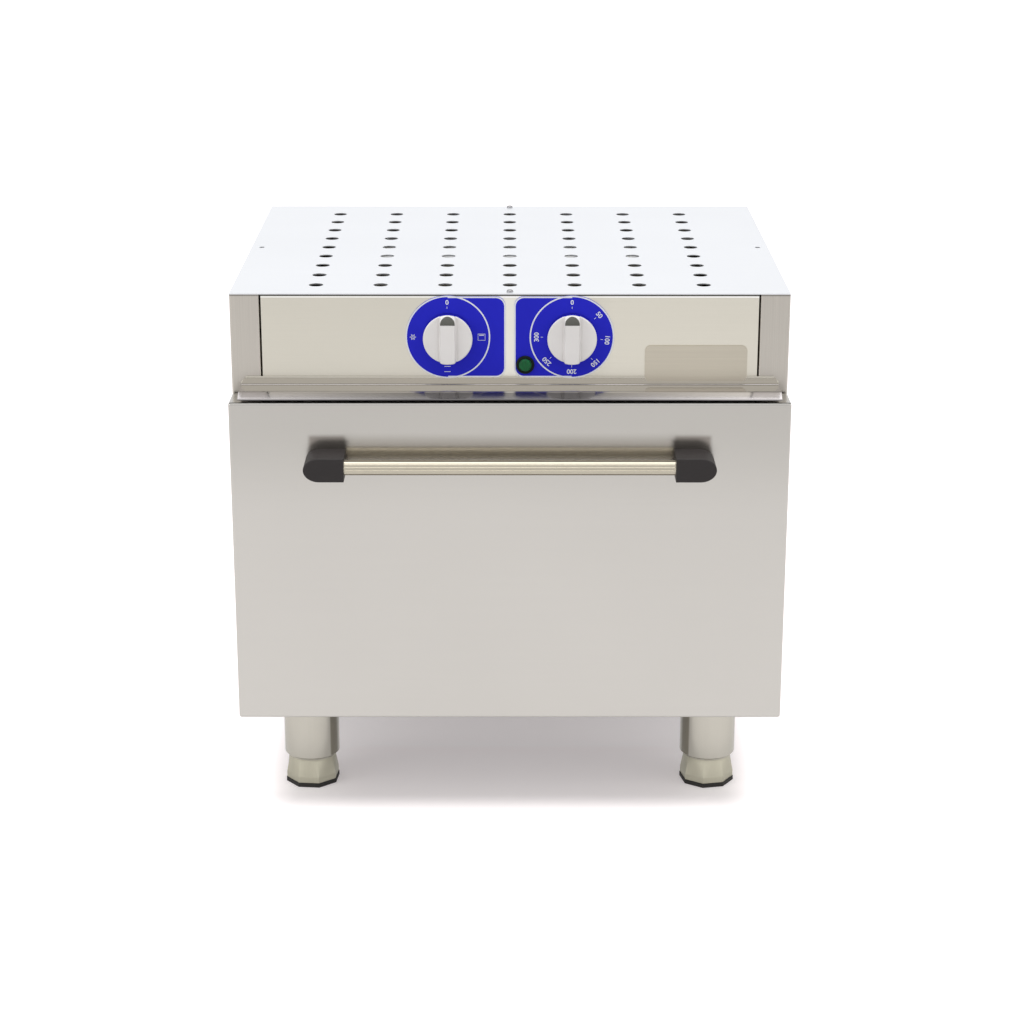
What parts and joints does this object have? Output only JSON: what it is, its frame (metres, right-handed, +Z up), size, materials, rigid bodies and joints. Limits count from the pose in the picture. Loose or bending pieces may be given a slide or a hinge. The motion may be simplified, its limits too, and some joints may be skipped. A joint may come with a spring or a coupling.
{
  "type": "electric convection oven",
  "caption": "Countertop electric convection oven with a drop-down door, tubular handle, control panel with round knobs, vented top cover and adjustable feet.",
  "frame": {"origin": "on the floor, under the middle of the bounding box at rest, with the door closed", "axes": "+X to the right of someone facing the door, +Y from the door to the back, +Z up"},
  "size_m": [0.6, 0.595, 0.5872],
  "materials": {
    "brushed_cabinet": "brushed",
    "plain_sheet": "mill",
    "screw_steel": "zinc plated",
    "cover_sheet": "satin",
    "panel_sheet": "brushed",
    "polished_ledge": "polished",
    "cavity_sheet": "satin",
    "mineral_wool": "fibrous",
    "seal_silicone": "matte",
    "fan_metal": "satin",
    "shaft_steel": "machined",
    "motor_paint": "satin",
    "heater_sheath": "oxidised",
    "rack_wire": "polished",
    "probe_copper": "satin",
    "badge_print": "printed",
    "bare_plate": "brushed",
    "black_plastic": "matte",
    "lamp_green": "moulded",
    "knob_silver": "satin",
    "switch_plastic": "matte",
    "door_sheet": "brushed",
    "bracket_plastic": "matte",
    "handle_steel": "polished",
    "leg_steel": "brushed",
    "gland_plastic": "matte",
    "ceramic": "matte",
    "foot_metal": "satin",
    "pad_rubber": "matte"
  },
  "bodies": {
    "cabinet": {"left_side_panel": "brushed_cabinet", "right_side_panel": "brushed_cabinet", "base_pan": "plain_sheet", "back_panel": "brushed_cabinet", "back_screws": "screw_steel", "top_cover": "cover_sheet", "cover_rivets": "cover_sheet", "control_panel": "panel_sheet", "drip_ledge": "polished_ledge", "front_frame": "cavity_sheet", "cavity_shell": "cavity_sheet", "cavity_back_wall": "cavity_sheet", "insulation_wrap": "mineral_wool", "insulation_slabs": "mineral_wool", "door_seal": "seal_silicone", "fan_guard": "cavity_sheet", "guard_fixings": "screw_steel", "motor_mount": "plain_sheet", "fan_motor": "motor_paint", "ring_element": "heater_sheath", "grill_element": "heater_sheath", "floor_element": "heater_sheath", "shelf_racks": "rack_wire", "rack_pins": "screw_steel", "thermostat_probe": "probe_copper", "inner_bridge": "plain_sheet", "dial_badges": "badge_print", "name_plate": "bare_plate", "lamp_bezel": "black_plastic", "lamp_lens": "lamp_green", "selector_switch": "switch_plastic", "thermostat_body": "plain_sheet", "hinge_brackets": "plain_sheet", "leg_tubes": "leg_steel", "leg_nuts": "screw_steel", "cable_gland": "gland_plastic", "terminal_block": "ceramic"},
    "door": {"door_outer_skin": "door_sheet", "door_inner_panel": "cavity_sheet", "door_insulation": "mineral_wool", "door_hinge_cheeks": "plain_sheet", "handle_brackets": "bracket_plastic", "handle_bar": "handle_steel", "handle_screws": "screw_steel"},
    "selector": {"selector_knob": "knob_silver", "selector_spindle": "shaft_steel"},
    "thermostat": {"thermostat_knob": "knob_silver", "thermostat_spindle": "shaft_steel"},
    "fan_wheel": {"fan": "fan_metal", "fan_shaft": "shaft_steel"},
    "shelf": {"wire_shelf": "rack_wire"},
    "foot_assembly_front_left": {"foot_front_left": "foot_metal", "foot_pad_front_left": "pad_rubber"},
    "foot_assembly_front_right": {"foot_front_right": "foot_metal", "foot_pad_front_right": "pad_rubber"},
    "foot_assembly_rear_left": {"foot_rear_left": "foot_metal", "foot_pad_rear_left": "pad_rubber"},
    "foot_assembly_rear_right": {"foot_rear_right": "foot_metal", "foot_pad_rear_right": "pad_rubber"}
  },
  "joints": [
    {"name": "door_hinge", "type": "hinge", "parent": "cabinet", "child": "door", "pos_m": [0, -0.2355, 0.1244], "axis": [1, 0, 0], "range_deg": [0, 90]},
    {"name": "selector_turn", "type": "hinge", "parent": "cabinet", "child": "selector", "pos_m": [-0.0665, -0.2155, 0.5375], "axis": [0, 1, 0], "range_deg": [0, 270]},
    {"name": "thermostat_turn", "type": "hinge", "parent": "cabinet", "child": "thermostat", "pos_m": [0.0665, -0.2155, 0.5375], "axis": [0, 1, 0], "range_deg": [0, 270]},
    {"name": "fan_spin", "type": "hinge", "parent": "cabinet", "child": "fan_wheel", "pos_m": [0, 0.16, 0.3], "axis": [0, 1, 0], "continuous": true},
    {"name": "shelf_slide", "type": "slide", "parent": "cabinet", "child": "shelf", "axis": [0, -1, 0], "range_m": [0, 0.02]},
    {"name": "foot_height_front_left", "type": "slide", "parent": "cabinet", "child": "foot_assembly_front_left", "axis": [0, 0, -1], "range_m": [0, 0.03]},
    {"name": "foot_height_front_right", "type": "slide", "parent": "cabinet", "child": "foot_assembly_front_right", "axis": [0, 0, -1], "range_m": [0, 0.03]},
    {"name": "foot_height_rear_left", "type": "slide", "parent": "cabinet", "child": "foot_assembly_rear_left", "axis": [0, 0, -1], "range_m": [0, 0.03]},
    {"name": "foot_height_rear_right", "type": "slide", "parent": "cabinet", "child": "foot_assembly_rear_right", "axis": [0, 0, -1], "range_m": [0, 0.03]}
  ]
}
